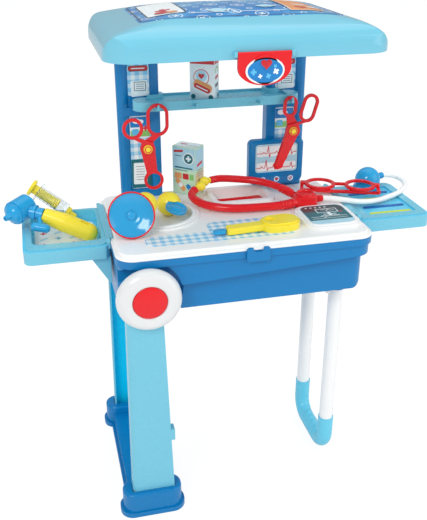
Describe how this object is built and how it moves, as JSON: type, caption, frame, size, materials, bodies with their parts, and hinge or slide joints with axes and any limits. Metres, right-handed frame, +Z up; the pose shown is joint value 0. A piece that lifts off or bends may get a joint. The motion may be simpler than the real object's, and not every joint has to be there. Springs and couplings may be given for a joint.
{
  "type": "toy doctor case",
  "caption": "Wheeled toy doctor's case opened out as a play table, with side tables, a shelf, a canopy and play instruments.",
  "frame": {"origin": "on the floor, under the middle of the whole set without the stethoscope tube", "axes": "+X along the case towards the trolley handle, +Y to the back, +Z up"},
  "size_m": [0.6174, 0.276, 0.6973],
  "materials": {
    "blue": "smooth moulded plastic",
    "deep_blue": "smooth moulded plastic",
    "light_blue": "smooth moulded plastic",
    "tool_blue": "smooth moulded plastic",
    "white": "smooth moulded plastic",
    "red": "smooth moulded plastic",
    "yellow": "smooth moulded plastic",
    "steel": "drawn rod",
    "clear": "clear plastic",
    "tube_white": "soft flexible tube",
    "sticker": "printed film",
    "card": "printed card"
  },
  "bodies": {
    "case": {"tub": "blue", "latch_clip": "blue", "axle": "steel", "handle_collars": "deep_blue"},
    "leg_frame": {"leg_front": "light_blue", "leg_back": "light_blue", "foot": "blue"},
    "front_wheel": {"wheel_front": "white", "hub_front": "red"},
    "back_wheel": {"wheel_back": "white", "hub_back": "red"},
    "handle": {"tube_front": "white", "tube_back": "white", "grip": "light_blue"},
    "front_button": {"snap_button_front": "white"},
    "back_button": {"snap_button_back": "white"},
    "deck": {"deck": "white", "deck_stickers": "sticker", "left_table": "light_blue", "left_bracket": "light_blue", "right_table": "light_blue", "right_bracket": "light_blue", "blue_inserts": "deep_blue", "yellow_inserts": "yellow", "post_left": "blue", "post_right": "blue", "shelf": "light_blue", "monitor": "blue", "stand_stickers": "sticker"},
    "canopy": {"canopy": "light_blue", "canopy_sticker": "sticker"},
    "clasp": {"clasp": "red"},
    "left_scissors": {"left_scissors_upper": "red"},
    "left_scissors_blade": {"left_scissors_lower": "red"},
    "right_scissors": {"right_scissors_upper": "red"},
    "right_scissors_blade": {"right_scissors_lower": "red"},
    "tall_box": {"tall_box": "card"},
    "small_box": {"small_box": "card"},
    "head_mirror": {"mirror_dish": "tool_blue", "mirror_ring": "red", "mirror_ball": "yellow"},
    "eye_lamp": {"lamp_ball": "yellow", "lamp_lens": "tool_blue"},
    "stethoscope": {"yoke": "red", "ear_arms": "red", "ear_tips": "yellow", "hose": "tube_white", "bell": "tool_blue"},
    "glasses": {"glasses": "red", "glasses_temples": "red"},
    "thermometer": {"thermometer": "yellow", "thermometer_tip": "tool_blue"},
    "tweezers": {"tweezers": "red"},
    "syringe": {"syringe_barrel": "clear", "syringe_nozzle": "yellow"},
    "plunger": {"syringe_plunger": "yellow"},
    "ear_scope": {"scope_head": "tool_blue", "scope_handle": "yellow"},
    "trigger": {"scope_trigger": "tool_blue"}
  },
  "joints": [
    {"name": "leg_fold", "type": "hinge", "parent": "case", "child": "leg_frame", "pos_m": [-0.129, 0, 0.355], "axis": [0, -1, 0], "range_deg": [0, 40]},
    {"name": "front_wheel_spin", "type": "hinge", "parent": "case", "child": "front_wheel", "pos_m": [-0.129, -0.127, 0.355], "axis": [0, 1, 0], "continuous": true},
    {"name": "back_wheel_spin", "type": "hinge", "parent": "case", "child": "back_wheel", "pos_m": [-0.129, 0.127, 0.355], "axis": [0, 1, 0], "continuous": true},
    {"name": "handle_pull", "type": "slide", "parent": "case", "child": "handle", "axis": [0, 0, -1], "range_m": [0, 0.06]},
    {"name": "front_button_press", "type": "slide", "parent": "handle", "child": "front_button", "axis": [1, 0, 0], "range_m": [0, 0.002], "stiffness_N_per_m": 200},
    {"name": "back_button_press", "type": "slide", "parent": "handle", "child": "back_button", "axis": [1, 0, 0], "range_m": [0, 0.002], "stiffness_N_per_m": 200},
    {"name": "deck_lift", "type": "slide", "parent": "case", "child": "deck", "axis": [0, 0, 1], "range_m": [0, 0.05]},
    {"name": "canopy_lift", "type": "slide", "parent": "deck", "child": "canopy", "axis": [0, 0, 1], "range_m": [0, 0.04]},
    {"name": "clasp_swing", "type": "hinge", "parent": "canopy", "child": "clasp", "pos_m": [0.017, -0.1185, 0.6535], "axis": [-1, 0, 0], "range_deg": [0, 75]},
    {"name": "left_scissors_swing", "type": "hinge", "parent": "deck", "child": "left_scissors", "pos_m": [-0.081, 0.0535, 0.556], "axis": [0, 1, 0], "range_deg": [-12, 12]},
    {"name": "left_scissors_open", "type": "hinge", "parent": "left_scissors", "child": "left_scissors_blade", "pos_m": [-0.097, 0.0503, 0.4982], "axis": [0, -1, 0], "range_deg": [0, 25]},
    {"name": "right_scissors_swing", "type": "hinge", "parent": "deck", "child": "right_scissors", "pos_m": [0.1124, 0.0535, 0.556], "axis": [0, 1, 0], "range_deg": [-12, 12]},
    {"name": "right_scissors_open", "type": "hinge", "parent": "right_scissors", "child": "right_scissors_blade", "pos_m": [0.1165, 0.0503, 0.5103], "axis": [0, 1, 0], "range_deg": [0, 25]},
    {"name": "tall_box_lift", "type": "slide", "parent": "deck", "child": "tall_box", "axis": [0, 0, 1], "range_m": [0, 0.015]},
    {"name": "small_box_lift", "type": "slide", "parent": "deck", "child": "small_box", "axis": [0, 0, 1], "range_m": [0, 0.015]},
    {"name": "head_mirror_lift", "type": "slide", "parent": "deck", "child": "head_mirror", "axis": [0, 0, 1], "range_m": [0, 0.015]},
    {"name": "eye_lamp_lift", "type": "slide", "parent": "deck", "child": "eye_lamp", "axis": [0, 0, 1], "range_m": [0, 0.015]},
    {"name": "stethoscope_lift", "type": "slide", "parent": "deck", "child": "stethoscope", "axis": [0, 0, 1], "range_m": [0, 0.015]},
    {"name": "glasses_lift", "type": "slide", "parent": "stethoscope", "child": "glasses", "axis": [0, 0, 1], "range_m": [0, 0.015]},
    {"name": "thermometer_lift", "type": "slide", "parent": "deck", "child": "thermometer", "axis": [0, 0, 1], "range_m": [0, 0.015]},
    {"name": "tweezers_lift", "type": "slide", "parent": "deck", "child": "tweezers", "axis": [0, 0, 1], "range_m": [0, 0.015]},
    {"name": "syringe_lift", "type": "slide", "parent": "deck", "child": "syringe", "axis": [0, 0, 1], "range_m": [0, 0.015]},
    {"name": "ear_scope_lift", "type": "slide", "parent": "deck", "child": "ear_scope", "axis": [0, 0, 1], "range_m": [0, 0.015]},
    {"name": "plunger_draw", "type": "slide", "parent": "syringe", "child": "plunger", "axis": [-0.7799, 0.26, 0.5694], "range_m": [-0.006, 0.025]},
    {"name": "trigger_press", "type": "slide", "parent": "ear_scope", "child": "trigger", "axis": [0, 0.8, 0.6], "range_m": [0, 0.002], "stiffness_N_per_m": 200}
  ]
}
